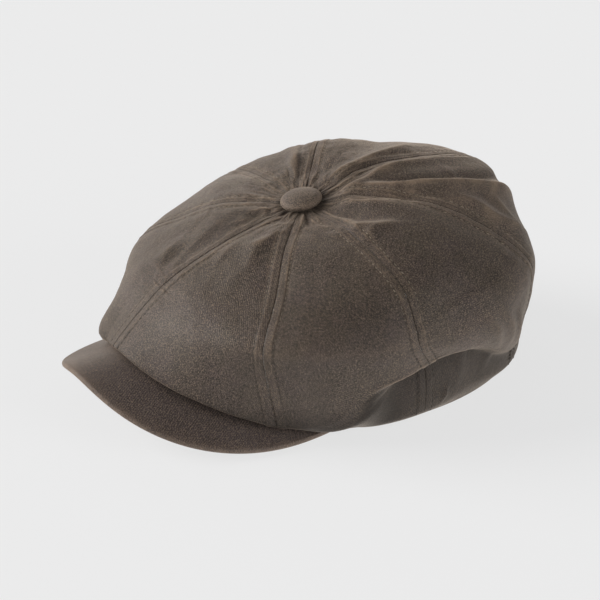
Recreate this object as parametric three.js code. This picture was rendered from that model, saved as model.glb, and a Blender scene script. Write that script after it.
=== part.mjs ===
// A round newsboy cap of waxed cotton: eight crown panels, a covered button and a stiff peak.
// Millimetres. The peak points to -Y, the wearer's left is +X, and +Z is up.
// The origin lies on the surface under the middle of the cap's footprint.

import * as THREE from 'three';

// Driving dimensions

const rimHalfWidth = 82.5;
const rimHalfLength = 106;
const rimCentreY = 25;
const clothWall = 1.6;
const panelGap = 0.4;

const peakReach = 56.3;
const peakThickness = 3.2;
const peakCentreHeight = 34.8;
const peakArchSlope = 0.588;
const peakRidgeRound = 25;
const peakSlopeDegrees = 3.7;
const peakHalfAngle = 70.5;
const peakEndShare = 0.875;
const peakOutlineFullness = 2.08;
const peakSewingGap = 0.35;
const peakUprightRoot = 0.33;

// The crown's folded front lies on the peak as far round as this, and its rim hangs behind the peak.
const layGap = 0.8;
const layUntil = 63;
const layGone = 71;
const rimBehindPeak = 1;
const rimDropsFrom = 52;
const rimDownAt = 62;

const buttonTilt = 11;
const buttonSeatY = 3;
const buttonSeatHeight = 100.3;

const panelCount = 8;
const panelAngle = 360 / panelCount;
const cellsAcrossPanel = 10;
const cellsAcrossPeak = 28;
const cellsAlongPeak = 6;
const cellsAroundButton = 24;

// Shift that brings the middle of the footprint to the origin
const footprintShift = new THREE.Vector3(0.45, -0.34, 0);

// Rings of the crown, from the button down to the rim.
// radius and height run from the front round to the back in equal steps, alike on both sides.
// centreY leans the ring, and cells is the number of cells from this ring to the next.
const rings = [
  { name: 'button', centreY: 3, cells: 4,
    radius: [3, 3, 3, 3, 3],
    height: [99.2, 99.4, 99.8, 100.2, 100.4] },
  { name: 'inner', centreY: 5, cells: 4,
    radius: [45, 46, 53, 49, 52],
    height: [86, 90, 95, 105, 108] },
  { name: 'shoulder', centreY: 9.5, cells: 4,
    radius: [84, 76, 87, 93, 107.5],
    height: [71, 77, 84, 90, 98.5] },
  { name: 'bulge', centreY: 14, cells: 4,
    radius: [102, 108, 104, 116.5, 109.5],
    height: [61, 55, 56, 66, 65] },
  { name: 'lip', centreY: rimCentreY, cells: 1,
    radius: [135, 131, 126, 117.5, 109, 105.5, 103, 99.5, 98, 98, 97.5, 98, 99, 102, 106, 110, 113],
    height: [37, 31.5, 26, 18, 11.5, 12.5, 31, 38, 41, 38.5, 33, 25, 17, 16.5, 18, 19, 20] },
  { name: 'under', centreY: rimCentreY, cells: 2,
    radius: [128, 123, 118, 109.5, 102, 100, 100.5, 95, 93, 92.5, 92, 94.5, 98, 101, 104, 107, 110],
    height: [34, 28.5, 23, 15, 9, 9, 19, 31, 38, 34, 29, 21, 13, 13, 14, 15, 16] },
  { name: 'tuck', centreY: rimCentreY, cells: 2,
    height: [37, 33, 27.5, 20.5, 14.5, 11, 8, 8.5, 9, 9, 9, 7.5, 6, 7, 8, 9, 10] },
  { name: 'rim', centreY: rimCentreY },
];
const tuckRing = 6;
const rimRing = 7;
const shoulderRing = 2;
const lipRing = 4;

// How far the wall stands out over the rim at the tuck, from the front round to the back.
// It starts beside the ends of the peak and grows between the two angles.
const tuckOverhang = [0, 0, 0, 9, 8, 4.5, 5.5, 3.5, 2];
const overhangGrows = [65.5, 71];

// Seams, counted from the front centre towards the wearer's left.
// Each column says how far the seam strays from its even place, in degrees:
// upper for the upper crown, lower at the lip and rim at the tuck and below.
const seams = [
  { name: 'front', upper: -3, lower: -4, rim: -4 },
  { name: 'front_left', upper: -1, lower: -3.5, rim: -3.5 },
  { name: 'left', upper: -1.5, lower: -3.5, rim: -1.5 },
  { name: 'back_left', upper: 1.5, lower: 1.5, rim: 2 },
  { name: 'back', upper: 3.5, lower: 3, rim: 3 },
  { name: 'back_right', upper: 9, lower: 3, rim: 3 },
  { name: 'right', upper: 2, lower: 0, rim: 0 },
  { name: 'front_right', upper: -5, lower: -4, rim: -4 },
];

// The cloth swells between seams and sinks at them.
const panelSwell = 1.2;
const seamDepth = 0.9;
const seamWidth = 5;
const swellGrows = [0.15, 0.8];
const swellFades = [3.6, 4.6];
const foldGrows = [0.12, 0.55];
const foldFades = [4, 4.4];
const foldEndShare = 0.35;

// Folds of the crown. Each runs through places [angle, ring]; rise is negative for a furrow.
const folds = [
  { name: 'long pleat', rise: 4.6, width: 6,
    through: [[153, 0.4], [148, 0.9], [150, 1.2], [155, 1.6], [160, 2.1], [163, 2.5]] },
  { name: 'ridge beside the back seam', rise: 3, width: 5,
    through: [[158, 0.4], [171, 0.8], [175, 1.25], [176, 1.85]] },
  { name: 'ridge behind the back seam', rise: 3.2, width: 5,
    through: [[203, 0.35], [194, 0.75], [193, 1.15], [194, 1.6]] },
  { name: 'ridge over the back left seam', rise: 3, width: 5,
    through: [[142, 1.45], [142, 1.75], [141, 2.1], [146, 2.6]] },
  { name: 'furrow under the long pleat', rise: -2.2, width: 6,
    through: [[139, 0.7], [140, 1.1], [147, 1.5]] },
  { name: 'puff below the button', rise: 2.6, width: 6.5,
    through: [[88, 0.6], [102, 0.72], [108, 0.98], [114, 1.12]] },
  { name: 'ridge over the front panel', rise: 2.3, width: 7,
    through: [[29, 0.5], [26, 0.95], [9, 1.25]] },
  { name: 'upper furrow of the right front', rise: -2.4, width: 8,
    through: [[347, 1.1], [349, 1.7], [350, 2.3]] },
  { name: 'lower furrow of the right front', rise: -1.9, width: 8,
    through: [[333, 1.4], [337, 2.1]] },
  { name: 'fold of the right back', rise: 2, width: 7,
    through: [[251, 0.7], [234, 1.15]] },
  { name: 'pucker of the right seam', rise: -1.6, width: 6,
    through: [[270, 0.8], [273, 1.4], [280, 1.8]] },
  { name: 'first waist gather', rise: 2.4, width: 5,
    through: [[112, 2.9], [116, 3.5]] },
  { name: 'second waist gather', rise: 2.4, width: 5,
    through: [[122, 3], [126, 3.6]] },
  { name: 'third waist gather', rise: 2.2, width: 5,
    through: [[134, 3], [138, 3.6]] },
  { name: 'hollow of the side', rise: -2, width: 15,
    through: [[92, 2.75], [112, 2.5], [130, 2.6]] },
  { name: 'fullness of the right back', rise: 7.5, width: 34,
    through: [[210, 1], [232, 1]] },
  { name: 'fullness of the right side', rise: 3, width: 26,
    through: [[236, 1.1], [248, 1.1]] },
  { name: 'fullness of the right front', rise: 5.5, width: 15,
    through: [[339, 3.95], [353, 3.95]] },
  { name: 'hollow over the back waist', rise: -1.5, width: 9,
    through: [[141, 3.7], [145, 3.75]] },
];
const foldPathSteps = 6;

// Smooth curves

const radians = THREE.MathUtils.degToRad;
const { clamp, smoothstep, lerp } = THREE.MathUtils;

// Degrees away from the front centre, from 0 to 180, on either side
function awayFromFront(angle) {
  const turned = ((angle % 360) + 360) % 360;
  return Math.min(turned, 360 - turned);
}

// Value at an angle of a row that runs from the front to the back
function aroundCrown(row, angle) {
  const last = row.length - 1;
  const place = awayFromFront(angle) / 180 * last;
  const start = Math.min(Math.floor(place), last - 1);
  const share = place - start;
  const at = (index) => row[last - Math.abs(last - Math.abs(index))];
  const [before, first, second, after] = [at(start - 1), at(start), at(start + 1), at(start + 2)];
  const bend = 2 * before - 5 * first + 4 * second - after;
  const twist = -before + 3 * first - 3 * second + after;
  return first + 0.5 * share * ((second - before) + share * (bend + share * twist));
}

// Value at a place down the crown: passes through every ring and never swings past one
function downCrown(values, place) {
  const last = values.length - 1;
  const start = Math.min(Math.floor(place), last - 1);
  const share = place - start;
  const slopeAt = (ring) => {
    const before = ring > 0 ? values[ring] - values[ring - 1] : values[1] - values[0];
    const after = ring < last ? values[ring + 1] - values[ring] : before;
    return before * after > 0 ? 2 * before * after / (before + after) : 0;
  };
  const rest = 1 - share;
  return values[start] * rest * rest * (1 + 2 * share)
    + values[start + 1] * share * share * (1 + 2 * rest)
    + slopeAt(start) * share * rest * rest
    - slopeAt(start + 1) * share * share * rest;
}

// Peak

// Outside radius of the rim, an ellipse round the head
function rimRadius(angle) {
  const turn = radians(angle);
  return 1 / Math.hypot(Math.sin(turn) / rimHalfWidth, Math.cos(turn) / rimHalfLength);
}

// Height of the middle of the peak's thickness: arched across, falling towards its edge
function peakHeight(x, y) {
  const arch = peakArchSlope * (Math.hypot(x, peakRidgeRound) - peakRidgeRound);
  const fall = Math.tan(radians(peakSlopeDegrees)) * (rimCentreY - rimHalfLength - y);
  return peakCentreHeight - arch - fall;
}

function peakWidth(share) {
  return peakReach * (1 - Math.abs(share) ** peakOutlineFullness) ** 2;
}

// share runs from -1 to 1 across the peak, and reach from 0 at its root to 1 at its edge
function peakMiddle(share, reach) {
  const angle = share * peakHalfAngle;
  const radius = rimRadius(angle) + peakSewingGap + (peakWidth(share) - peakSewingGap) * reach;
  const x = radius * Math.sin(radians(angle));
  const y = rimCentreY - radius * Math.cos(radians(angle));
  return new THREE.Vector3(x, y, peakHeight(x, y));
}

function peakNormal(point) {
  const step = 0.5;
  const slopeX = peakHeight(point.x + step, point.y) - peakHeight(point.x - step, point.y);
  const slopeY = peakHeight(point.x, point.y + step) - peakHeight(point.x, point.y - step);
  return new THREE.Vector3(-slopeX, -slopeY, 2 * step).normalize();
}

// The root stays upright against the crown, and the thickness turns square over the first third.
function bendPeak(across, along, through) {
  const share = 2 * across * peakEndShare;
  const reach = 0.5 - along;
  const point = peakMiddle(share, reach);
  const turned = smoothstep(reach, 0, peakUprightRoot);
  const direction = new THREE.Vector3(0, 0, 1).lerp(peakNormal(point), turned);
  return point.addScaledVector(direction.normalize(), through * peakThickness);
}

// Crown

// Lowest height that the folded crown may have over the peak, so that it lies on the peak
function restingHeight(x, y, angle) {
  const overPeak = 1 - smoothstep(awayFromFront(angle), layUntil, layGone);
  const steepness = Math.hypot(1, peakArchSlope);
  return (peakHeight(x, y) + peakThickness / 2 * steepness + layGap) * overPeak;
}

// The rim runs just below the peak's underside in front and lies on the surface elsewhere.
function rimHeight(angle) {
  const radius = rimRadius(angle);
  const x = radius * Math.sin(radians(angle));
  const y = rimCentreY - radius * Math.cos(radians(angle));
  const underPeak = Math.max(peakHeight(x, y) - peakThickness / 2 - rimBehindPeak, 0);
  return underPeak * (1 - smoothstep(awayFromFront(angle), rimDropsFrom, rimDownAt));
}

// How far the seams have drawn the cloth round, in degrees, at an even angle and a place
function seamDrift(angle, place) {
  const share = (((angle % 360) + 360) % 360) / panelAngle;
  const start = Math.floor(share) % panelCount;
  const between = (column) => {
    return lerp(seams[start][column], seams[(start + 1) % panelCount][column], share - Math.floor(share));
  };
  const drift = lerp(between('upper'), between('lower'), smoothstep(place, shoulderRing, lipRing));
  return drift + (between('rim') - between('lower')) * smoothstep(place, lipRing, tuckRing);
}

// Smooth crown without folds. place counts rings from 0 at the button to 7 at the rim.
function crownBase(evenAngle, place) {
  const angle = evenAngle + seamDrift(evenAngle, place);
  const overhang = aroundCrown(tuckOverhang, angle) * smoothstep(awayFromFront(angle), ...overhangGrows);
  const ownRadius = (ring) => rimRadius(angle) + (ring === rings[tuckRing] ? overhang : 0);
  const radii = rings.map((ring) => (ring.radius ? aroundCrown(ring.radius, angle) : ownRadius(ring)));
  const heights = rings.map((ring) => (ring.height ? aroundCrown(ring.height, angle) : rimHeight(angle)));
  const radius = downCrown(radii, place);
  const height = downCrown(heights, place);
  const centreY = downCrown(rings.map((ring) => ring.centreY), place);
  const x = radius * Math.sin(radians(angle));
  const y = centreY - radius * Math.cos(radians(angle));
  const z = place <= tuckRing ? Math.max(height, restingHeight(x, y, angle)) : height;
  return new THREE.Vector3(x, y, z);
}

// Outward direction, square to the profile of the crown and without a part along the ring
function crownOutward(angle, place) {
  const step = 0.03;
  const above = crownBase(angle, Math.max(place - step, 0));
  const below = crownBase(angle, Math.min(place + step, rimRing));
  const middle = crownBase(angle, place);
  const centreY = downCrown(rings.map((ring) => ring.centreY), place);
  const alongRing = new THREE.Vector3(centreY - middle.y, middle.x, 0).normalize();
  const outward = alongRing.cross(above.sub(below)).normalize();
  if (place > tuckRing) {
    outward.setZ(0).normalize();
  }
  return outward;
}

const foldPaths = folds.map((fold) => {
  const places = fold.through.map(([angle, place]) => new THREE.Vector3(angle, place, 0));
  const route = new THREE.CatmullRomCurve3(places);
  const points = route.getPoints(foldPathSteps * (places.length - 1));
  return points.map((point) => crownBase(point.x, point.y));
});

// A fold's rise at a point: full on its path, fading to both sides and towards both ends
function foldRise(fold, path, point) {
  let nearest = 0;
  path.forEach((spot, index) => {
    if (spot.distanceToSquared(point) < path[nearest].distanceToSquared(point)) {
      nearest = index;
    }
  });
  const distance = path[nearest].distanceTo(point) / fold.width;
  const share = nearest / (path.length - 1);
  const ending = lerp(foldEndShare, 1, Math.sin(Math.PI * share));
  return fold.rise * ending * Math.exp(-distance * distance);
}

// How far the cloth stands off the smooth crown: swell, seam channels and folds
function clothRise(angle, place, point) {
  const share = (((angle % panelAngle) + panelAngle) % panelAngle) / panelAngle;
  const fromSeam = Math.min(share, 1 - share) * radians(panelAngle) * Math.hypot(point.x, point.y);
  const channel = seamDepth * Math.exp(-((fromSeam / seamWidth) ** 2));
  const swell = panelSwell * Math.sin(Math.PI * share);
  const open = smoothstep(place, ...swellGrows) * (1 - smoothstep(place, ...swellFades));
  const folded = folds.reduce((sum, fold, index) => sum + foldRise(fold, foldPaths[index], point), 0);
  const free = smoothstep(place, ...foldGrows) * (1 - smoothstep(place, ...foldFades));
  return (swell - channel) * open + folded * free;
}

// Places of the rows of cells down the crown, as many between rings as the table says
const rowPlaces = [];
rings.slice(0, rimRing).forEach((ring, index) => {
  for (let row = 0; row < ring.cells; row += 1) {
    rowPlaces.push(index + row / ring.cells);
  }
});
rowPlaces.push(rimRing);
const cellsDownPanel = rowPlaces.length - 1;

// Bends a block's corner on to one panel: across runs round the crown, along up to the button
function bendPanel(panel, across, along, through) {
  const place = rowPlaces[Math.round((0.5 - along) * cellsDownPanel)];
  const share = across + 0.5;
  const evenAngle = (panel + share) * panelAngle;
  const middle = crownBase(evenAngle, place);
  const radius = Math.hypot(middle.x, middle.y - rings[0].centreY);
  const inset = THREE.MathUtils.radToDeg(panelGap / 2 / radius);
  const angle = clamp(evenAngle, panel * panelAngle + inset, (panel + 1) * panelAngle - inset);
  const point = crownBase(angle, place);
  const rise = clothRise(angle, place, point);
  const depth = (0.5 - through) * clothWall;
  return point.addScaledVector(crownOutward(angle, place), rise - depth);
}

// Solids

// Turns the diagonals on the inner side, so that they lie under those of the outer side
function matchDiagonals(block) {
  const innerSide = block.groups[5];
  const cornersOfCell = 6;
  for (let first = innerSide.start; first < innerSide.start + innerSide.count; first += cornersOfCell) {
    const [a, b, d, , c] = block.index.array.slice(first, first + cornersOfCell);
    [a, b, c, a, c, d].forEach((corner, step) => block.index.setX(first + step, corner));
  }
}

// A block of cells whose corners are moved by a function of their places from -0.5 to 0.5
function bentBlock(cellsAcross, cellsAlong, bend) {
  const block = new THREE.BoxGeometry(1, 1, 1, cellsAcross, cellsAlong, 1);
  const corners = block.attributes.position;
  for (let index = 0; index < corners.count; index += 1) {
    const moved = bend(corners.getX(index), corners.getY(index), corners.getZ(index));
    corners.setXYZ(index, moved.x, moved.y, moved.z);
  }
  matchDiagonals(block);
  block.computeVertexNormals();
  return block;
}

const crownCloth = new THREE.MeshStandardMaterial({ color: '#4e463e', roughness: 0.72, metalness: 0 });
const peakCloth = new THREE.MeshStandardMaterial({ color: '#463e39', roughness: 0.7, metalness: 0 });
const buttonCloth = new THREE.MeshStandardMaterial({ color: '#5a5049', roughness: 0.75, metalness: 0 });

// Panels in the order of the seams: each lies between its own seam and the next one
const panelNames = [
  'front_left', 'left_front', 'left_back', 'back_left',
  'back_right', 'right_back', 'right_front', 'front_right',
];

function crownPanel(name, panel) {
  const bend = (across, along, through) => bendPanel(panel, across, along, through);
  const mesh = new THREE.Mesh(bentBlock(cellsAcrossPanel, cellsDownPanel, bend), crownCloth);
  mesh.name = `crown_panel_${name}`;
  return mesh;
}

function stiffPeak() {
  const mesh = new THREE.Mesh(bentBlock(cellsAcrossPeak, cellsAlongPeak, bendPeak), peakCloth);
  mesh.name = 'peak';
  return mesh;
}

// Half section of the cloth-covered button with the shank that holds it, as [radius, height]
const buttonSection = [
  [0, -4], [2.4, -4], [2.4, 0.2], [9.2, 0], [11, 0.8], [11.5, 2.1],
  [11, 3.4], [9, 4.7], [5.5, 5.8], [2, 6.2], [0, 6.3],
];

function coveredButton() {
  const section = buttonSection.map(([radius, height]) => new THREE.Vector2(radius, height));
  const mesh = new THREE.Mesh(new THREE.LatheGeometry(section, cellsAroundButton), buttonCloth);
  mesh.name = 'button';
  mesh.rotation.x = radians(90 + buttonTilt);
  mesh.position.set(0, buttonSeatY, buttonSeatHeight);
  return mesh;
}

const group = new THREE.Group();
group.add(...panelNames.map(crownPanel), coveredButton(), stiffPeak());
group.position.copy(footprintShift);

export default group;
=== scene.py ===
# %% [markdown]
# # A newsboy cap of waxed cotton
# The cap has eight panels, a covered button and a stiff peak. It stands on its rim on a pale
# table. The plain solids of the part are the frame here: every piece below is modelled over its
# own solid, in metres, with the peak towards -Y and the wearer's left towards +X.

# %% Load the frame
import math

import bmesh
import bpy
import numpy as np
from mathutils import Matrix, Vector


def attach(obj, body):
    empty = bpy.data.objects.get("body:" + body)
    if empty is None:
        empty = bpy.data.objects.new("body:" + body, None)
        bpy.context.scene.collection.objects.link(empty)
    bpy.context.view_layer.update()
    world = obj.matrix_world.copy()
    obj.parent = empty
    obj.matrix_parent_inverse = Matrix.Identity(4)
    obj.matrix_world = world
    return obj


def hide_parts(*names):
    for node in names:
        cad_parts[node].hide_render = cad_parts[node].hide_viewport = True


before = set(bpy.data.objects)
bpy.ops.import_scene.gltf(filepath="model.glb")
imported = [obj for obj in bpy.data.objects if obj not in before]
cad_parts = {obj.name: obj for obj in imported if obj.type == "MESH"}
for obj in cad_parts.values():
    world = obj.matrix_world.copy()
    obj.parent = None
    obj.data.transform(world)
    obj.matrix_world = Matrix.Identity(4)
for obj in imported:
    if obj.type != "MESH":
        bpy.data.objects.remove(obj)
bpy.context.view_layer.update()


# %% [markdown]
# ## Camera, table and light
# The camera stands in front of the cap's left side and looks down on it with a long lens, so
# that the panels hardly shrink towards the back. Working out where a photograph was taken from
# is easiest with points whose places are known, such as the ends of the seams and the button.

# %% Camera
camera_azimuth = 59.22
camera_elevation = 26.13
camera_distance = 1.1311
camera_aim = Vector((-0.0194, 0.0116, 0.0281))
lens = 120.1


def direction(azimuth, elevation):
    """Unit vector from the cap towards a place seen at these angles, in degrees."""
    turn, lift = math.radians(azimuth), math.radians(elevation)
    return Vector((math.sin(turn) * math.cos(lift), -math.cos(turn) * math.cos(lift), math.sin(lift)))


def look_along(thing, towards):
    """Turns a camera or light so that it looks along a direction."""
    thing.rotation_mode = "QUATERNION"
    thing.rotation_quaternion = towards.to_track_quat("-Z", "Y")


camera = bpy.data.objects.new("camera", bpy.data.cameras.new("camera"))
camera.data.lens = lens
camera.data.clip_start = 0.05
camera.data.clip_end = 20
camera.location = camera_aim + camera_distance * direction(camera_azimuth, camera_elevation)
look_along(camera, -direction(camera_azimuth, camera_elevation))
bpy.context.scene.collection.objects.link(camera)
bpy.context.scene.camera = camera
print("camera at", tuple(round(v, 3) for v in camera.location))

# %% [markdown]
# The table is one pale sheet, so wide that its far edge shows only in the lowest views. It glows
# a little by itself, as paper in a bright studio does, so the shadow on it stays faint. Three wide
# suns light the cap: a strong one from the left of the picture, a weaker one from the right, and a
# faint one from the far side. A sun lights a whole table evenly, where an area lamp would leave a
# bright pool on it.

# %% Table and light
table_size = 24
table_glow = 0.705
table_grey = (0.165, 0.171, 0.178)
light_width = 40
light_colour = (1, 0.955, 0.912)
# name, direction that it comes from, strength
lights = [
    ("left_light", direction(-40, 24), 3.3),
    ("back_light", direction(122, 14), 1.12),
    ("rim_light", direction(-104, 12), 0.36),
]
sky_low, sky_high = 0.57, 0.05


def plain_material(name, colour, roughness):
    """A finish without any pattern, for things that aren't part of the cap."""
    material = bpy.data.materials.new(name)
    material.use_nodes = True
    shader = material.node_tree.nodes["Principled BSDF"]
    shader.inputs["Base Color"].default_value = (*colour, 1)
    shader.inputs["Roughness"].default_value = roughness
    return material


def object_from(bm, name, *materials):
    """Turns a finished bmesh into an object of the scene."""
    mesh = bpy.data.meshes.new(name)
    bm.to_mesh(mesh)
    bm.free()
    piece = bpy.data.objects.new(name, mesh)
    bpy.context.scene.collection.objects.link(piece)
    for material in materials:
        mesh.materials.append(material)
    return piece


bm = bmesh.new()
bmesh.ops.create_grid(bm, x_segments=1, y_segments=1, size=table_size / 2)
table_finish = plain_material("pale table", table_grey, 0.9)
table_shader = table_finish.node_tree.nodes["Principled BSDF"]
table_shader.inputs["Emission Color"].default_value = (1, 1, 1, 1)
table_shader.inputs["Emission Strength"].default_value = table_glow
table_shader.inputs["Specular IOR Level"].default_value = 0
table_top = object_from(bm, "table_top", table_finish)

for light_name, towards, strength in lights:
    light = bpy.data.objects.new(light_name, bpy.data.lights.new(light_name, "SUN"))
    light.data.energy = strength
    light.data.color = light_colour
    light.data.angle = math.radians(light_width)
    look_along(light, -towards)
    bpy.context.scene.collection.objects.link(light)

world = bpy.data.worlds.new("studio")
world.use_nodes = True
sky = world.node_tree
rising = sky.nodes.new("ShaderNodeSeparateXYZ")
fading = sky.nodes.new("ShaderNodeMapRange")
for socket, number in (("From Min", 0), ("From Max", 1), ("To Min", sky_low), ("To Max", sky_high)):
    fading.inputs[socket].default_value = number
sky.links.new(sky.nodes.new("ShaderNodeTexCoord").outputs["Generated"], rising.inputs[0])
sky.links.new(rising.outputs["Z"], fading.inputs["Value"])
sky.links.new(fading.outputs["Result"], sky.nodes["Background"].inputs["Strength"])
sky.nodes["Background"].inputs["Color"].default_value = (1, 1, 1, 1)
bpy.context.scene.world = world
bpy.context.scene.view_settings.view_transform = "Standard"
print("table", table_size, "m wide, lights:", [row[0] for row in lights])

# %% [markdown]
# ## The crown's shape
# The crown is a bag of cloth that hangs over the rim, and it has no straight line anywhere. It
# could be sculpted or simulated, but a real cap's shape comes from its cut, so it is drawn here
# as a maker would measure it: rings of the crown from the button down to the rim, each with a
# radius and a height at even steps from the front round to the back. Five steps are enough high
# up, and the folded lip, which rises and dips the most, has seventeen. A smooth curve runs round
# each ring, and another runs down through all of them.

# %% Rings of the crown, in millimetres
rim_half_width = 82.5
rim_half_length = 106
rim_centre_y = 25
cloth_wall = 1.6
panel_count = 8
panel_angle = 360 / panel_count
footprint_shift = np.array([0.45, -0.34, 0])

# name, centre y, radius from front to back, height from front to back
rings = [
    ("button", 1.8, [3, 3, 3, 3, 3], [96.2, 96.4, 96.8, 97.2, 97.4]),
    ("inner", 5, [45, 46, 53, 49, 52], [86, 90, 95, 105, 108]),
    ("shoulder", 9.5, [84, 76, 87, 93, 107.5], [71, 77, 84, 90, 98.5]),
    ("bulge", 14, [102, 108, 104, 116.5, 109.5], [61, 55, 56, 66, 65]),
    ("lip", 25,
        [135, 131, 126, 117.5, 109, 105.5, 103, 99.5, 98, 98, 97.5, 98, 99, 102, 106, 110, 113],
        [37, 31.5, 26, 18, 12, 14.5, 29.5, 36.5, 40.5, 40, 33.5, 23, 17, 16.5, 18, 19, 20]),
    ("under", 25,
        [128, 123, 118, 109.5, 102.5, 103.5, 102.5, 95, 93, 92.5, 92, 94.5, 98, 101, 104, 107, 110],
        [34, 28.5, 23, 15, 9, 9, 18, 31, 37, 36, 29.5, 19, 13, 13, 14, 15, 16]),
    ("tuck", 25, None, [37, 33, 27.5, 20.5, 14.5, 8, 5, 6, 7, 8, 9, 7.5, 6, 7, 8, 9, 10]),
    ("rim", 25, None, None),
]
# How far the wall stands out over the rim at the tuck, from front to back, away from the peak
tuck_overhang = [0, 0, 0, 9, 8, 4.5, 5.5, 3.5, 2]
overhang_grows = (57, 64)
shoulder_ring, lip_ring, tuck_ring, rim_ring = 2, 4, 6, 7

# How far each seam strays from its even place, in degrees, from the front seam round to the left
upper_drifts = [-3, -1, -1.5, 1.5, 3.5, 9, 2, -5]
lower_drifts = [-4, -3.5, -3.5, 1.5, 3, 3, 0, -4]
rim_drifts = [-4, -3.5, -1.5, 2, 3, 3, 0, -4]
print("rings:", [ring[0] for ring in rings])


# %% Curves round and down the crown
def smooth_step(value, start, end):
    """0 before start, 1 after end, and a smooth rise between them."""
    share = np.clip((value - start) / (end - start), 0, 1)
    return share * share * (3 - 2 * share)


def around_crown(row, angle):
    """Value at an angle of a row that runs from the front to the back, alike on both sides."""
    row = np.array(row, float)
    last = len(row) - 1
    turned = np.mod(angle, 360)
    place = np.minimum(turned, 360 - turned) / 180 * last
    start = np.minimum(np.floor(place).astype(int), last - 1)
    share = place - start
    before, first, second, after = (row[last - abs(last - abs(start + step))] for step in (-1, 0, 1, 2))
    bend = 2 * before - 5 * first + 4 * second - after
    twist = -before + 3 * first - 3 * second + after
    return first + 0.5 * share * ((second - before) + share * (bend + share * twist))


def down_crown(values, place):
    """Value at a place down the crown, through every ring without swinging past one."""
    values = np.array(np.broadcast_arrays(*values), float)
    steps = np.diff(values, axis=0)
    above, below = steps[:-1], steps[1:]
    same_way = above * below > 0
    middle = np.where(same_way, 2 * above * below / np.where(same_way, above + below, 1), 0)
    slopes = np.concatenate([steps[:1], middle, steps[-1:]])
    start = np.clip(np.floor(place).astype(int), 0, len(values) - 2)
    share = place - start
    rest = 1 - share

    def at(table, index):
        return np.take_along_axis(table, index[None], 0)[0]

    return (
        at(values, start) * rest * rest * (1 + 2 * share)
        + at(values, start + 1) * share * share * (1 + 2 * rest)
        + at(slopes, start) * share * rest * rest
        - at(slopes, start + 1) * share * share * rest
    )


lip_height = float(around_crown(rings[lip_ring][3], 90))
print("the lip stands", round(lip_height, 1), "mm high at the side")

# %% [markdown]
# ## The peak's slope
# The peak is a board sewn between two layers of cloth. It is arched like a roof with a rounded
# ridge, and it falls a little towards its edge. Wear has bent its right front corner down. The
# crown's folded front lies on the peak, so the crown needs the peak's height before it is made.

# %% Sizes of the peak, in millimetres
peak_reach = 56.3
peak_thickness = 3.2
peak_centre_height = 34.8
peak_arch_slope = 0.588
peak_ridge_round = 25
peak_fall = math.tan(math.radians(3.7))
peak_half_angle = 70.5
peak_end_share = 0.83
peak_outline_fullness = 2.08
peak_sewing_gap = 0.35
peak_corner_droop, peak_corner_share, peak_corner_width = 2.2, -0.2, 0.17
lay_gap = 0.8
lay_until, lay_gone = 63, 71
rim_behind_peak = 1
rim_drops_from, rim_down_at = 52, 62
print("peak reaches", peak_reach, "mm past the rim and is", peak_thickness, "mm thick")


# %% Heights of the peak and the rim
def rim_radius(angle):
    """Outside radius of the rim, an ellipse round the head."""
    turn = np.radians(angle)
    return 1 / np.hypot(np.sin(turn) / rim_half_width, np.cos(turn) / rim_half_length)


def peak_height(x, y):
    """Height of the middle of the peak's thickness."""
    arch = peak_arch_slope * (np.hypot(x, peak_ridge_round) - peak_ridge_round)
    return peak_centre_height - arch - peak_fall * (rim_centre_y - rim_half_length - y)


def away_from_front(angle):
    """Degrees away from the front, from 0 to 180, on either side."""
    turned = np.mod(angle, 360)
    return np.minimum(turned, 360 - turned)


def resting_height(x, y, angle):
    """Lowest height of the folded crown over the peak, so that it lies on the peak."""
    over_peak = 1 - smooth_step(away_from_front(angle), lay_until, lay_gone)
    steepness = math.hypot(1, peak_arch_slope)
    return (peak_height(x, y) + peak_thickness / 2 * steepness + lay_gap) * over_peak


def rim_height(angle):
    """The rim runs just below the peak in front and lies on the table elsewhere."""
    radius = rim_radius(angle)
    turn = np.radians(angle)
    x, y = radius * np.sin(turn), rim_centre_y - radius * np.cos(turn)
    under_peak = np.maximum(peak_height(x, y) - peak_thickness / 2 - rim_behind_peak, 0)
    return under_peak * (1 - smooth_step(away_from_front(angle), rim_drops_from, rim_down_at))


print("peak stands", round(float(peak_height(0, rim_centre_y - rim_half_length)), 1), "mm high at its root")

# %% [markdown]
# ## The smooth crown
# A seam that is sewn tight draws the cloth round a little, so each seam strays from its even
# place. With that, the rings can be read at any angle and any place down the crown. All folds are
# then laid on along the direction away from this smooth shape, as a Displace modifier would do it
# with a picture, but here every fold keeps its name and its size.


# %% The smooth crown
def seam_drift(angle, place):
    """How far the seams have drawn the cloth round, in degrees, at an even angle and a place."""
    share = np.mod(angle, 360) / panel_angle
    upper, lower, rim = (
        np.interp(share, range(panel_count + 1), drifts + drifts[:1])
        for drifts in (upper_drifts, lower_drifts, rim_drifts)
    )
    drift = upper + (lower - upper) * smooth_step(place, shoulder_ring, lip_ring)
    return drift + (rim - lower) * smooth_step(place, lip_ring, tuck_ring)


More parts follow.
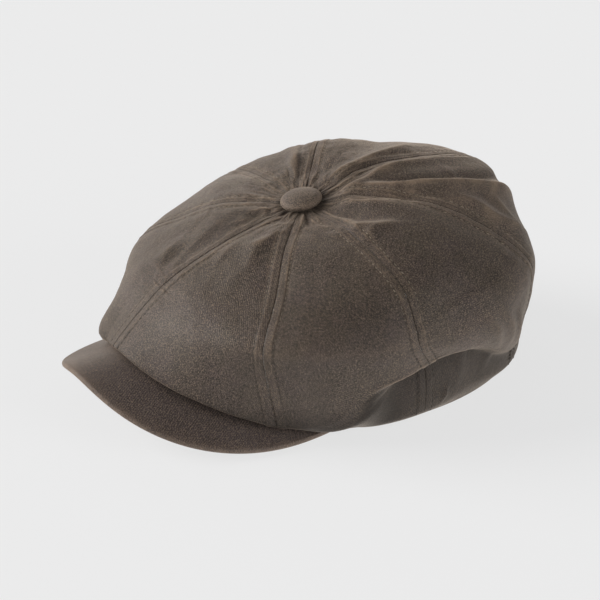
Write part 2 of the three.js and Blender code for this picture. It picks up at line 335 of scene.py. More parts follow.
def crown_base(angle, place):
    """The smooth crown without folds. place counts the rings, from 0 at the button to 7 at the rim."""
    angle, place = np.broadcast_arrays(np.asarray(angle, float), np.asarray(place, float))
    angle = angle + seam_drift(angle, place)
    overhang = around_crown(tuck_overhang, angle) * smooth_step(away_from_front(angle), *overhang_grows)
    standing_out = {"tuck": overhang, "rim": 0}
    radii, heights, centres = [], [], []
    for name, centre_y, ring_radii, ring_heights in rings:
        if ring_radii:
            radii.append(around_crown(ring_radii, angle))
        else:
            radii.append(rim_radius(angle) + standing_out[name])
        heights.append(around_crown(ring_heights, angle) if ring_heights else rim_height(angle))
        centres.append(np.full_like(angle, centre_y))
    radius, height, centre = (down_crown(values, place) for values in (radii, heights, centres))
    turn = np.radians(angle)
    x, y = radius * np.sin(turn), centre - radius * np.cos(turn)
    z = np.where(place <= tuck_ring, np.maximum(height, resting_height(x, y, angle)), height)
    return np.stack([x, y, z], axis=-1)


def crown_outward(angle, place):
    """Outward direction, square to the profile of the crown and without a part along the ring."""
    angle, place = np.broadcast_arrays(np.asarray(angle, float), np.asarray(place, float))
    step = 0.03
    above = crown_base(angle, np.maximum(place - step, 0))
    below = crown_base(angle, np.minimum(place + step, rim_ring))
    middle = crown_base(angle, place)
    centre = down_crown([np.full_like(angle, ring[1]) for ring in rings], place)
    along_ring = np.stack([centre - middle[..., 1], middle[..., 0], np.zeros_like(angle)], axis=-1)
    outward = np.cross(along_ring, above - below)
    outward[..., 2] *= place <= tuck_ring
    return outward / np.linalg.norm(outward, axis=-1, keepdims=True)


probe = crown_base(np.linspace(0, 350, 36), np.full(36, 3.0))
print("smooth crown is", round(float(np.ptp(probe[:, 0])), 1), "mm wide at its bulge")

# %% [markdown]
# ## Folds
# Waxed cotton keeps every fold that it is given, with a fairly sharp crest. Each fold is a path
# over the crown, given as angle and ring, with a rise that is negative for a furrow. The two
# widths are for its two sides, because a pleat leans over to one of them. A low crest width
# makes a crisp crease and a high one a soft roll. Sculpting by hand would be freer, but a table
# can be read, measured and changed one fold at a time.

# %% Folds, in millimetres
long_pleat_path = [(148, 0.34), (144, 0.86), (146, 1.18), (151, 1.58), (156, 1.98), (161, 2.4)]
# name, rise, width on the left of the path, width on the right, crest, path of (angle, ring)
folds = [
    ("long pleat", 6.2, 5, 8, 0.3, long_pleat_path),
    ("ridge beside the back seam", 3.6, 4, 5, 0.4,
        [(150, 0.36), (155, 0.58), (166, 0.84), (171, 1.2), (174, 1.8)]),
    ("ridge behind the back seam", 3.8, 4, 6, 0.4, [(201, 0.28), (188, 0.66), (188, 1.02), (190, 1.4)]),
    ("ridge over the back left seam", 3.4, 5, 5, 0.7,
        [(142, 1.45), (142, 1.75), (141, 2.1), (146, 2.6)]),
    ("furrow under the long pleat", -2.8, 5, 5, 1.2, [(134, 0.6), (137, 1.0), (143, 1.45)]),
    ("puff below the button", 2.6, 4, 9, 0.6, [(86, 0.62), (95, 0.78), (102, 0.92), (111, 1.12)]),
    ("crest by the left seam", 1.3, 2.5, 3.5, 0.3, [(95, 0.4), (97, 0.64), (94, 0.86)]),
    ("first short crest", 1.2, 2, 4, 0.3, [(90, 0.8), (97, 0.85), (103, 0.96)]),
    ("second short crest", 1.3, 2, 4, 0.3, [(91, 1.04), (100, 1.0), (110, 1.1)]),
    ("ridge over the front panel", 2.8, 4, 8, 0.8, [(32, 0.5), (29, 0.95), (11, 1.25)]),
    ("first pucker of the front left", 1.4, 3, 5, 0.6, [(32, 0.84), (28, 1.14), (28, 1.52)]),
    ("second pucker of the front left", 1.2, 3, 5, 0.6, [(12, 1.02), (11, 1.28), (12, 1.52)]),
    ("first fold of the front right", 1.6, 4, 7, 0.8, [(343, 1.26), (348, 1.62), (357, 2.14)]),
    ("second fold of the front right", 1.4, 4, 7, 0.8, [(330, 1.6), (340, 1.92), (352, 2.36)]),
    ("upper furrow of the right front", -2.8, 7, 7, 3, [(347, 1.1), (349, 1.7), (350, 2.3)]),
    ("lower furrow of the right front", -2.2, 7, 7, 3, [(333, 1.4), (337, 2.1)]),
    ("fold of the right back", 2.4, 5, 7, 0.8, [(255, 0.55), (234, 1.0)]),
    ("pucker of the right seam", -1.6, 6, 6, 2, [(270, 0.8), (273, 1.4), (280, 1.8)]),
    ("first waist gather", 2.6, 4, 4, 0.4, [(111, 3), (114, 3.4), (117, 3.8)]),
    ("second waist gather", 2.6, 4, 4, 0.4, [(116, 3.1), (120, 3.4), (123, 3.75)]),
    ("third waist gather", 2.8, 4, 4, 0.4, [(124, 3.3), (127, 3.6), (135, 3.95)]),
    ("hollow of the side", -2, 14, 14, 5, [(92, 2.75), (112, 2.5), (130, 2.6)]),
    ("fullness of the right back", 4, 20, 20, 6, [(210, 1.3), (234, 1.1)]),
    ("lower fullness of the right back", 3, 26, 26, 8, [(204, 1.5), (220, 1.45)]),
    ("dip right of the back seam", -1.6, 9, 9, 3, [(203, 0.8), (202, 1.5)]),
    ("furrow over the long pleat", -2.6, 4, 5, 1,
        [(155, 0.6), (151, 0.95), (153, 1.25), (159, 1.65), (165, 2.1)]),
    ("fullness of the right side", 3, 22, 22, 8, [(236, 1.1), (248, 1.1)]),
    ("fullness of the right front", 5.5, 13, 13, 5, [(339, 3.95), (353, 3.95)]),
    ("hollow over the back waist", -1.5, 8, 8, 3, [(141, 3.7), (145, 3.75)]),
    ("short crease of the back", 0.7, 1.5, 4, 0.3, [(166, 1.40), (156, 1.52)]),
    ("crease above the back left seam", 1.6, 2.5, 5, 0.3, [(149, 1.9), (147, 2.15), (144, 2.42)]),
    ("ridge under the back left seam", 2, 3, 4, 0.4,
        [(109, 0.28), (122, 0.44), (125, 0.72), (130, 1.04)]),
    ("dent under the back left seam", -1.8, 5, 5, 2, [(137, 1.0), (138, 1.2)]),
    ("soft crease of the side", 0.6, 3, 8, 0.8, [(91, 2.77), (105, 2.6), (131, 2.65)]),
    ("ripple over the side lip", 0.5, 4, 4, 1, [(75, 3.6), (84, 3.75), (92, 3.8)]),
]
# Folds of the wall below the lip
low_folds = [
    ("groove under the side crease", -3.2, 2.5, 6, 0.6,
        [(73, 4.7), (78, 4.8), (86, 4.85), (95, 4.85), (108, 4.8)]),
    ("edge of the side crease", 1.3, 2.5, 1.2, 0.2,
        [(72, 3.93), (76, 3.95), (84, 3.97), (92, 3.98), (104, 3.98)]),
    ("fullness before the side crease", 2, 8, 8, 4, [(57, 4.4), (65, 4.4), (77, 4.6)]),
    ("bump beside the left seam", 1.6, 3, 3, 1, [(97, 5.75), (99, 5.8)]),
    ("first ripple of the low wall", 0.8, 3, 4, 1, [(106, 4.9), (104, 5.6)]),
    ("second ripple of the low wall", 0.9, 3, 4, 1, [(120, 4.6), (117, 5.5)]),
]
# Crests that are rubbed pale, with the share of the wear in place of the rise
rubbed_crests = [
    ("long pleat", 0.8, 1.2, 6, 0.4, long_pleat_path),
    ("above the back left seam", 0.6, 1.5, 4, 0.4, [(140, 1.5), (141, 1.74), (140, 2.08), (144, 2.52)]),
    ("beside it", 0.5, 1.5, 4, 0.4, [(152, 1.86), (148, 2.02), (146, 2.26)]),
    ("left of the back seam", 0.45, 1.2, 3, 0.4, [(160, 0.38), (164, 0.84), (169, 1.18), (172, 1.5)]),
    ("right of the back seam", 0.45, 1.2, 3, 0.4, [(196, 0.46), (186, 0.66), (187, 1.02), (190, 1.38)]),
]
fold_end_share = 0.35
# Widths after which a fold is gone, how much sooner it fades past its ends, power of its flanks
fold_reach, fold_past_end, fold_steepness = 3.5, 1.3, 1.35
fold_grows, fold_fades = (0.12, 0.55), (4, 4.4)
steps_between_places = 24
print("folds:", len(folds), "and", len(low_folds), "below the lip, rubbed crests:", len(rubbed_crests))


# %% Paths of the folds
def curve_through(places):
    """Points along a smooth curve through the places."""
    places = np.array(places, float)
    padded = np.concatenate([2 * places[:1] - places[1:2], places, 2 * places[-1:] - places[-2:-1]])
    parts = []
    for index in range(len(places) - 1):
        before, first, second, after = padded[index:index + 4]
        share = np.linspace(0, 1, steps_between_places, endpoint=False)[:, None]
        bend = 2 * before - 5 * first + 4 * second - after
        twist = -before + 3 * first - 3 * second + after
        parts.append(first + 0.5 * share * ((second - before) + share * (bend + share * twist)))
    return np.concatenate(parts + [places[-1:]])


def fold_lines_of(table):
    """The path of each fold over the smooth crown, and the direction to its left."""
    lines = []
    for name, rise, left, right, crest, places in table:
        line_angle, line_place = curve_through(places).T
        line = crown_base(line_angle, line_place)
        side = np.cross(crown_outward(line_angle, line_place), np.gradient(line, axis=0))
        lines.append((line, side))
    return lines


fold_lines = fold_lines_of(folds)
low_fold_lines = fold_lines_of(low_folds)
rubbed_lines = fold_lines_of(rubbed_crests)
pleat = fold_lines[0][0]
print("the long pleat runs", round(float(np.linalg.norm(np.diff(pleat, axis=0), axis=1).sum())), "mm")


# %% Height of the folds
def fold_rise(points, table, lines):
    """How far the folds of a table lift the cloth at points of the smooth crown."""
    flat = points.reshape(-1, 3)
    total = np.zeros(len(flat))
    for (name, rise, left, right, crest, places), (line, side) in zip(table, lines):
        reach = fold_reach * max(left, right)
        near = np.all((flat > line.min(axis=0) - reach) & (flat < line.max(axis=0) + reach), axis=1)
        if not near.any():
            continue
        offset = flat[near][:, None, :] - line[None]
        nearest = np.argmin((offset ** 2).sum(axis=2), axis=1)
        offset = offset[np.arange(len(nearest)), nearest]
        distance = np.sqrt((offset ** 2).sum(axis=1))
        width = np.where((offset * side[nearest]).sum(axis=1) > 0, left, right)
        across = (np.sqrt(distance ** 2 + crest ** 2) - crest) / width
        share = nearest / (len(line) - 1)
        ending = fold_end_share + (1 - fold_end_share) * np.sin(np.pi * share)
        past_end = np.where((nearest == 0) | (nearest == len(line) - 1), fold_past_end, 1)
        total[near] += rise * ending * np.exp(-(across * past_end) ** fold_steepness)
    return total.reshape(points.shape[:-1])


print("folds lift the long pleat up to", round(float(fold_rise(pleat, folds, fold_lines).max()), 1), "mm")

# %% [markdown]
# ## Seams and small creases
# Where two panels meet, their edges turn inwards into a narrow ditch. Each edge is then stitched
# down on both sides, five millimetres from the ditch, and the thread pulls the cloth into small
# puckers. The little creases between are noise on a lattice that closes round the crown, so no
# panel ends on a step. Real noise nodes would do it only in the finish, not in the shape.

# %% Relief of the cloth, in millimetres
panel_swell = 1.2
seam_depth, seam_width = 0.45, 5
swell_grows = (0.15, 0.8)
swell_fades = (3.6, 4.6)
ditch_depth, ditch_width = 0.25, 0.4
row_offset = 4.8
row_depth, row_width = 0.5, 0.8
band_lift, band_edge = 0.55, 1.2
sewing_grows, sewing_fades = (0.05, 0.3), (5.5, 6.2)
stitch_pitch = 3.2

# name, amount, cells round the crown, cells between rings, seed
crumple = [
    ("slow waves", 0.55, 26, 1.3, 3),
    ("creases", 0.22, 70, 3.5, 11),
    ("grain", 0.07, 180, 9, 5),
]
crumple_fades = (3.9, 4.6)
seam_puckers = [
    ("long puckers", 0.26, 16, 11, 21),
    ("short puckers", 0.182, 32, 19, 22),
]
pucker_width = 4
button_gathers = [
    ("folds", 0.6, 44, 5, 31),
    ("creases", 0.28, 90, 11, 32),
]
gathers_grow, gathers_fade = (0.1, 0.25), (0.4, 1.1)
print("noises:", len(crumple + seam_puckers + button_gathers), "and two stitched rows beside each seam")


# %% Noise that closes round the crown
def cloth_noise(angle, place, around, down, seed):
    """Smooth random values from -1 to 1 on a lattice that closes round the crown."""
    rows = int(math.ceil(rim_ring * down)) + 3
    lattice = np.random.default_rng(seed).uniform(-1, 1, (rows, around))
    u = np.mod(angle, 360) / 360 * around
    v = place * down
    column, row = np.floor(u).astype(int), np.floor(v).astype(int)
    su, sv = u - column, v - row
    su, sv = su * su * (3 - 2 * su), sv * sv * (3 - 2 * sv)
    left, right = column % around, (column + 1) % around
    top = lattice[row, left] * (1 - su) + lattice[row, right] * su
    bottom = lattice[row + 1, left] * (1 - su) + lattice[row + 1, right] * su
    return top * (1 - sv) + bottom * sv


def crumpled(table, angle, place):
    """Sum of the noises of a table."""
    return sum(
        amount * cloth_noise(angle, place, around, down, seed)
        for name, amount, around, down, seed in table
    )


level_ring = np.linspace(0, 355, 72)
slow = crumpled(crumple, level_ring, np.full(72, 2.5))
print("crumple at the bulge runs from", round(float(slow.min()), 2), "to", round(float(slow.max()), 2), "mm")


# %% Surface of the cloth
def bell(distance, width):
    """1 in the middle, falling smoothly to 0 on both sides."""
    return np.exp(-((distance / width) ** 2))


def distance_from_seam(angle, points):
    """Distance along the ring from the nearest seam, in millimetres."""
    share = np.mod(angle, panel_angle) / panel_angle
    radius = np.hypot(points[..., 0], points[..., 1])
    return np.minimum(share, 1 - share) * math.radians(panel_angle) * radius


def cloth_rise(angle, place, points):
    """How far the cloth stands off the smooth crown: swell, seams, folds and creases."""
    share = np.mod(angle, panel_angle) / panel_angle
    from_seam = distance_from_seam(angle, points)
    opening = smooth_step(place, *swell_grows) * (1 - smooth_step(place, *swell_fades))
    rise = (panel_swell * np.sin(np.pi * share) - seam_depth * bell(from_seam, seam_width)) * opening
    folded = fold_rise(points, folds, fold_lines)
    rise += folded * smooth_step(place, *fold_grows) * (1 - smooth_step(place, *fold_fades))
    rise += fold_rise(points, low_folds, low_fold_lines)
    sewn = smooth_step(place, *sewing_grows) * (1 - smooth_step(place, *sewing_fades))
    band = band_lift * (1 - smooth_step(from_seam, row_offset, row_offset + band_edge))
    puckers = crumpled(seam_puckers, angle, place) * bell(from_seam - row_offset, pucker_width)
    ditches = ditch_depth * bell(from_seam, ditch_width) + row_depth * bell(from_seam - row_offset, row_width)
    rise += sewn * (band + puckers - ditches)
    rise += (1 - smooth_step(place, *crumple_fades)) * crumpled(crumple, angle, place)
    gathered = smooth_step(place, *gathers_grow) * (1 - smooth_step(place, *gathers_fade))
    return rise + gathered * crumpled(button_gathers, angle, place)


def crown_surface(angle, place):
    """The outside of the finished crown, in millimetres, in the part's frame."""
    angle, place = np.broadcast_arrays(np.asarray(angle, float), np.asarray(place, float))
    points = crown_base(angle, place)
    rise = cloth_rise(angle, place, points)
    return points + crown_outward(angle, place) * rise[..., None] + footprint_shift


probe = crown_surface(np.linspace(0, 350, 36), np.full(36, 3.0))
print("crown is", round(float(np.ptp(probe[:, 0])), 1), "mm wide at its bulge")

# %% [markdown]
# ## Waxed cotton
# Waxed cotton is a fine twill soaked in wax. Close up there are slanting ribs, further off a
# mottled olive brown, and where the cloth is rubbed or folded the wax breaks and goes pale. The
# ribs follow the cloth, so they read each piece's own map, which is laid out in metres. The pale
# crests, the dark seams and the painted shade round the button, low on the wall and below the side
# crease follow the shape, so they read two values that are stored on the mesh: wear, and one for
# the dark seams and the painted shade.

# %% Colours and noises of the cloth
rib_pitch = 0.00095
wax_dark = (0.039, 0.0325, 0.0275)
wax_light = (0.086, 0.0712, 0.0605)
wax_plum = (0.068, 0.0515, 0.054)
wax_worn = (0.285, 0.21, 0.15)
# darkest wax, for the grain's darks, the dark seams and the painted shade
wax_deep_and_shade = (0.017, 0.0125, 0.009)
peak_dark, peak_light = (0.053, 0.0435, 0.044), (0.094, 0.077, 0.078)
button_dark, button_light = (0.100, 0.082, 0.067), (0.158, 0.129, 0.103)
rib_turn, thread_turn = 40, -50
# Noises of the finish: cells in a metre, detail, roughness
cloud_noise = (16, 5, 0.6)
patch_noise = (55, 4, 0.6)
break_noise = (140, 4, 0.7)
dent_noise = (170, 5, 0.65)
dust_noise = (420, 1, 0.3)
grain_noise = (1800, 1, 0.7)
print("ribs are", 1000 * rib_pitch, "mm apart")


# %% Finish of the cloth
def add_node(tree, kind, **settings):
    """Adds a node and sets its properties, and its inputs where a setting names one."""
    node = tree.nodes.new(kind)
    for name, value in settings.items():
        if hasattr(node, name):
            setattr(node, name, value)
        else:
            node.inputs[name.replace("_", " ")].default_value = value
    return node


def noise_of(tree, coordinates, scale, detail, roughness=0.55):
    """A noise texture on some coordinates, as a value from 0 to 1."""
    node = add_node(tree, "ShaderNodeTexNoise")
    node.inputs["Scale"].default_value = scale
    node.inputs["Detail"].default_value = detail
    node.inputs["Roughness"].default_value = roughness
    tree.links.new(coordinates, node.inputs["Vector"])
    return node.outputs["Fac"]


def spread(tree, value, low, high, to_low=0.0, to_high=1.0):
    """Stretches the part of a value between low and high."""
    node = add_node(tree, "ShaderNodeMapRange", clamp=True)
    for name, number in (("From Min", low), ("From Max", high), ("To Min", to_low), ("To Max", to_high)):
        node.inputs[name].default_value = number
    tree.links.new(value, node.inputs["Value"])
    return node.outputs["Result"]


def combine(tree, operation, first, second):
    """One step of arithmetic on two values, of which the second may be a number."""
    node = add_node(tree, "ShaderNodeMath", operation=operation)
    tree.links.new(first, node.inputs[0])
    if isinstance(second, (int, float)):
        node.inputs[1].default_value = second
    else:
        tree.links.new(second, node.inputs[1])
    return node.outputs["Value"]


def blend_colours(tree, share, first, second):
    """Mixes two colours, each given as numbers or as the output of a node."""
    node = add_node(tree, "ShaderNodeMix", data_type="RGBA")
    tree.links.new(share, node.inputs["Factor"])
    for socket, colour in ((node.inputs[6], first), (node.inputs[7], second)):
        if isinstance(colour, tuple):
            socket.default_value = (*colour, 1)
        else:
            tree.links.new(colour, socket)
    return node.outputs[2]


def ribs_of(tree, coordinates, pitch, turn):
    """Slanting ribs on the cloth's own map."""
    mapping = add_node(tree, "ShaderNodeMapping")
    mapping.inputs["Rotation"].default_value = (0, 0, math.radians(turn))
    mapping.inputs["Scale"].default_value = (1 / pitch,) * 3
    tree.links.new(coordinates, mapping.inputs["Vector"])
    wave = add_node(tree, "ShaderNodeTexWave", wave_type="BANDS", bands_direction="X", wave_profile="SIN")
    wave.inputs["Scale"].default_value = 0.31416
    wave.inputs["Distortion"].default_value = 2.2
    wave.inputs["Detail"].default_value = 2
    wave.inputs["Detail Scale"].default_value = 1.6
    tree.links.new(mapping.outputs["Vector"], wave.inputs["Vector"])
    return wave.outputs["Fac"]


def waxed_cotton(name, dark=wax_dark, light=wax_light):
    """The cap's cloth: mottled wax, twill ribs, pale wear, a few specks of dust, dark seams and painted
    shade.
    """
    material = bpy.data.materials.new(name)
    material.use_nodes = True
    tree = material.node_tree
    shader = tree.nodes["Principled BSDF"]
    place = add_node(tree, "ShaderNodeTexCoord").outputs["Object"]
    cut = add_node(tree, "ShaderNodeUVMap", uv_map="cut").outputs["UV"]
    wear = add_node(tree, "ShaderNodeAttribute", attribute_name="wear").outputs["Fac"]
    # dark seams and painted shade, stored on the mesh
    dark_seams_and_shade = add_node(tree, "ShaderNodeAttribute", attribute_name="dark_seams_and_shade").outputs["Fac"]

    clouds = spread(tree, noise_of(tree, place, *cloud_noise), 0.35, 0.68)
    patches = spread(tree, noise_of(tree, place, *patch_noise), 0.4, 0.7)
    grain = noise_of(tree, place, *grain_noise)
    ribs = ribs_of(tree, cut, rib_pitch, rib_turn)
    threads = ribs_of(tree, cut, rib_pitch * 0.6, thread_turn)

    colour = blend_colours(tree, clouds, dark, light)
    colour = blend_colours(tree, combine(tree, "MULTIPLY", patches, 0.6), colour, wax_plum)
    fine = combine(tree, "ADD", combine(tree, "MULTIPLY", ribs, 0.12), grain)
    colour = blend_colours(tree, spread(tree, fine, 0.56, 0.77, 0, 0.7), colour, wax_worn)
    colour = blend_colours(tree, spread(tree, fine, 0.56, 0.37, 0, 0.9), colour, wax_deep_and_shade)
    breaks = spread(tree, noise_of(tree, place, *break_noise), 0.3, 0.62, 0.25, 1)
    rubbed = combine(tree, "MULTIPLY", wear, breaks)
    colour = blend_colours(tree, spread(tree, rubbed, 0, 1, 0, 0.75), colour, wax_worn)
    dust = spread(tree, noise_of(tree, place, *dust_noise), 0.79, 0.83)
    colour = blend_colours(tree, combine(tree, "MULTIPLY", dust, 0.6), colour, wax_worn)
    # dark seams and painted shade darken the cloth towards the deepest wax
    colour = blend_colours(tree, spread(tree, dark_seams_and_shade, 0, 1, 0, 0.85), colour, wax_deep_and_shade)
    tree.links.new(colour, shader.inputs["Base Color"])

    gloss = combine(tree, "MULTIPLY", clouds, -0.12)
    gloss = combine(tree, "ADD", gloss, combine(tree, "MULTIPLY", rubbed, 0.15))
    gloss = combine(tree, "ADD", gloss, combine(tree, "MULTIPLY", ribs, 0.1))
    tree.links.new(combine(tree, "ADD", gloss, 0.56), shader.inputs["Roughness"])
    shader.inputs["Specular IOR Level"].default_value = 0.26
    shader.inputs["Sheen Weight"].default_value = 0.36
    shader.inputs["Sheen Roughness"].default_value = 0.38
    shader.inputs["Sheen Tint"].default_value = (1, 0.84, 0.68, 1)

    relief = combine(tree, "MULTIPLY", ribs, 0.5)
    relief = combine(tree, "ADD", relief, combine(tree, "MULTIPLY", threads, 0.3))
    relief = combine(tree, "ADD", relief, combine(tree, "MULTIPLY", grain, 0.8))
    small = add_node(tree, "ShaderNodeBump")
    small.inputs["Strength"].default_value = 0.5
    small.inputs["Distance"].default_value = 0.0002
    tree.links.new(relief, small.inputs["Height"])
    broad = add_node(tree, "ShaderNodeBump")
    broad.inputs["Strength"].default_value = 0.4
    broad.inputs["Distance"].default_value = 0.001
    tree.links.new(noise_of(tree, place, *dent_noise), broad.inputs["Height"])
    tree.links.new(broad.outputs["Normal"], small.inputs["Normal"])
    tree.links.new(small.outputs["Normal"], shader.inputs["Normal"])
    return material


crown_finish = waxed_cotton("waxed cotton of the crown")
peak_finish = waxed_cotton("waxed cotton of the peak", peak_dark, peak_light)
button_finish = waxed_cotton("waxed cotton of the button", button_dark, button_light)
print("finishes:", [m.name for m in (crown_finish, peak_finish, button_finish)])

# %% [markdown]
# ## Worn and dark places
# Handling rubs the crests of the folds pale, and the seams and stitch holes show as dark lines.
# Both could be painted on a picture, but then they wouldn't follow the folds. So every point of a
# panel gets two values from 0 to 1. Wear grows where the cloth bends outwards, beside the seams and
# along the rubbed crests. The second value darkens the seams and the stitch holes, and it also
# paints shade round the button, low on the wall, most where the front turns under, and below the
# side crease.

# %% Worn and dark places, in millimetres and in places from the button
# reach in cells, strength, bend where it starts, share
worn_bends = [(2, 1.1, 0.07, 0.85), (5, 2.2, 0.06, 0.55)]
# distance from the seam, width, share
rubbed_rows = [(1.5, 0.5, 0.3), (row_offset + 0.9, 0.6, 0.42), (row_offset - 1, 0.6, 0.3)]
rows_soften, rows_end = (1.2, 2.6), (3.6, 4.2)
rub_cells_around, rub_cells_down, rub_seed = 48, 9, 41
front_wear_ends, side_wear_ends = (3.7, 3.85), (4.15, 4.4)
unworn_share, unworn_beside_seam = 0.25, (0.8, 2.2)
# Degrees from the front between which the side crease starts, and the rolled front ends
crease_starts, roll_ends = (62, 68), (70, 84)
seam_line_width, stitch_hole_width = 0.45, 0.55
seam_dark_start, seam_dark_full = (0.1, 0.3), (0.5, 1.2)
# Painted shade: round the button, low on the wall, most where the front rolls under, and below the side
# crease
button_shade, button_shade_ends = 0.6, (0.21, 0.34)
low_shade, roll_shade, low_shade_starts, low_shade_heights = 0.28, 0.57, (2.9, 3.4), (8, 28)
crease_shade, crease_shade_starts, crease_shade_ends = 0.85, (4, 4.15), (5, 6.5)


def crest_of(points, reach):
    """How sharply the surface bends outwards at each point of a grid, per millimetre."""
    def shifted(axis, step):
        index = np.clip(np.arange(points.shape[axis]) + step, 0, points.shape[axis] - 1)
        return np.take(points, index, axis)

    down = shifted(0, reach) - shifted(0, -reach)
    across = shifted(1, reach) - shifted(1, -reach)
    normal = np.cross(down, across)
    normal /= np.linalg.norm(normal, axis=-1, keepdims=True) + 1e-9
    bend = np.zeros(points.shape[:2])
    for axis, run in ((0, down), (1, across)):
        sag = points - (shifted(axis, reach) + shifted(axis, -reach)) / 2
        bend += (sag * normal).sum(axis=-1) / ((run ** 2).sum(axis=-1) / 8 + 0.05)
    return bend


def along_side(angle, place, starts):
    """0 in front and 1 along the sides and the back, rising between two angles."""
    return smooth_step(away_from_front(angle + seam_drift(angle, place)), *starts)


def worn_places(angle, place, smooth, points):
    """Wear of a panel, from its smooth points and its finished ones."""
    from_seam = distance_from_seam(angle, smooth)
    creased = along_side(angle, place, crease_starts)
    wear = sum(
        share * np.clip(crest_of(points, reach) * strength - start, 0, 1)
        for reach, strength, start, share in worn_bends
    )
    ending = smooth_step(place, *front_wear_ends) * (1 - creased)
    ending += smooth_step(place, *side_wear_ends) * creased
    wear *= (1 - ending) * (unworn_share + (1 - unworn_share) * smooth_step(from_seam, *unworn_beside_seam))
    patchy = 0.65 + 0.7 * cloth_noise(angle, place, rub_cells_around, rub_cells_down, rub_seed)
    wear += fold_rise(smooth, rubbed_crests, rubbed_lines) * np.clip(patchy, 0.3, 1.2)
    rows = sum(share * bell(from_seam - offset, width) for offset, width, share in rubbed_rows)
    softer = (1 - 0.6 * smooth_step(place, *rows_soften)) * (1 - smooth_step(place, *rows_end))
    return np.clip(wear + rows * patchy * softer, 0, 1)


def seams_and_painted_shade(angle, place, smooth, points, down):
    """Dark seams and stitch holes of a panel, with painted shade round the button, low on the wall and below
    the side crease. down is the length along the seams, in millimetres.
    """
    from_seam = distance_from_seam(angle, smooth)
    beat = np.cos(2 * np.pi * down / stitch_pitch)
    dark_seams_and_shade = bell(from_seam, seam_line_width) * (0.1 + 0.8 * smooth_step(beat, -0.3, 0.5))
    dark_seams_and_shade += 0.5 * bell(from_seam - row_offset, stitch_hole_width) * smooth_step(-beat, 0.1, 0.8)
    dark_seams_and_shade *= (smooth_step(place, *seam_dark_start) + smooth_step(place, *seam_dark_full)) / 2
    # painted shadow of the button on the cloth round it
    dark_seams_and_shade += button_shade * (1 - smooth_step(place, *button_shade_ends))
    # painted shade low on the wall, stronger where the front rolls under
    rolled = 1 - along_side(angle, place, roll_ends)
    low = smooth_step(place, *low_shade_starts) * (1 - smooth_step(points[..., 2], *low_shade_heights))
    dark_seams_and_shade += (low_shade + roll_shade * rolled) * low
    # painted shade below the side crease
    under_crease = smooth_step(place, *crease_shade_starts) * (1 - smooth_step(place, *crease_shade_ends))
    dark_seams_and_shade += crease_shade * under_crease * along_side(angle, place, crease_starts)
    return np.clip(dark_seams_and_shade, 0, 1)


print("rows rubbed beside each seam:", len(rubbed_rows), "on both sides")

# %% [markdown]
# ## Eight panels
# Each panel starts as a flat grid, as it would be cut from cloth. Its points move on to the
# crown's surface, closer together beside the seams, where the stitching needs them. A Solidify
# modifier then gives the cloth its thickness on the inner side. One round shell for the whole
# crown would be simpler, but its seams could then only be painted on. The size of each flat cut is
# measured on the smooth panel and kept as the panel's map.

# %% Rows and columns of a panel
columns = 84
rows_between_rings = [40, 40, 34, 44, 14, 18, 14]
edge_crowding = 0.62
panel_gap = 0.02
panel_names = [
    "front_left", "left_front", "left_back", "back_left",
    "back_right", "right_back", "right_front", "front_right",
]

row_places = np.concatenate([
    np.linspace(ring, ring + 1, count, endpoint=False) for ring, count in enumerate(rows_between_rings)
] + [[rim_ring]])
even = np.linspace(0, 1, columns + 1)
column_shares = even - edge_crowding * np.sin(2 * np.pi * even) / (2 * np.pi)
print("each panel:", len(row_places) - 1, "rows and", columns, "columns")


# %% Panels
def cloth_grid(name, points, cut, wear, dark_seams_and_shade, finish):
    """Moves a flat grid of cloth to its points, with its map, its wear, and its dark seams and painted shade.
    """
    rows, across = points.shape[:2]
    bm = bmesh.new()
    bmesh.ops.create_grid(bm, x_segments=across - 1, y_segments=rows - 1, size=0.5)
    wear_layer = bm.verts.layers.float.new("wear")
    dark_seams_and_shade_layer = bm.verts.layers.float.new("dark_seams_and_shade")
    cut_layer = bm.loops.layers.uv.new("cut")
    places = {}
    for vert in bm.verts:
        column = round((vert.co.x + 0.5) * (across - 1))
        row = round((0.5 - vert.co.y) * (rows - 1))
        vert.co = points[row, column] / 1000
        vert[wear_layer] = wear[row, column]
        vert[dark_seams_and_shade_layer] = dark_seams_and_shade[row, column]
        places[vert] = cut[row, column] / 1000
    for face in bm.faces:
        face.smooth = True
        for loop in face.loops:
            loop[cut_layer].uv = places[loop.vert]
    return object_from(bm, name, finish)


def flat_lengths(points):
    """Places on the flat cloth: millimetres across from the middle and down from the top."""
    across = np.linalg.norm(np.diff(points, axis=1), axis=-1)
    across = np.concatenate([np.zeros((len(points), 1)), np.cumsum(across, axis=1)], axis=1)
    across -= across[:, across.shape[1] // 2][:, None]
    down = np.linalg.norm(np.diff(points, axis=0), axis=-1).mean(axis=1)
    down = np.concatenate([[0], np.cumsum(down)])
    return np.stack([across, np.broadcast_to(down[:, None], across.shape)], axis=-1)


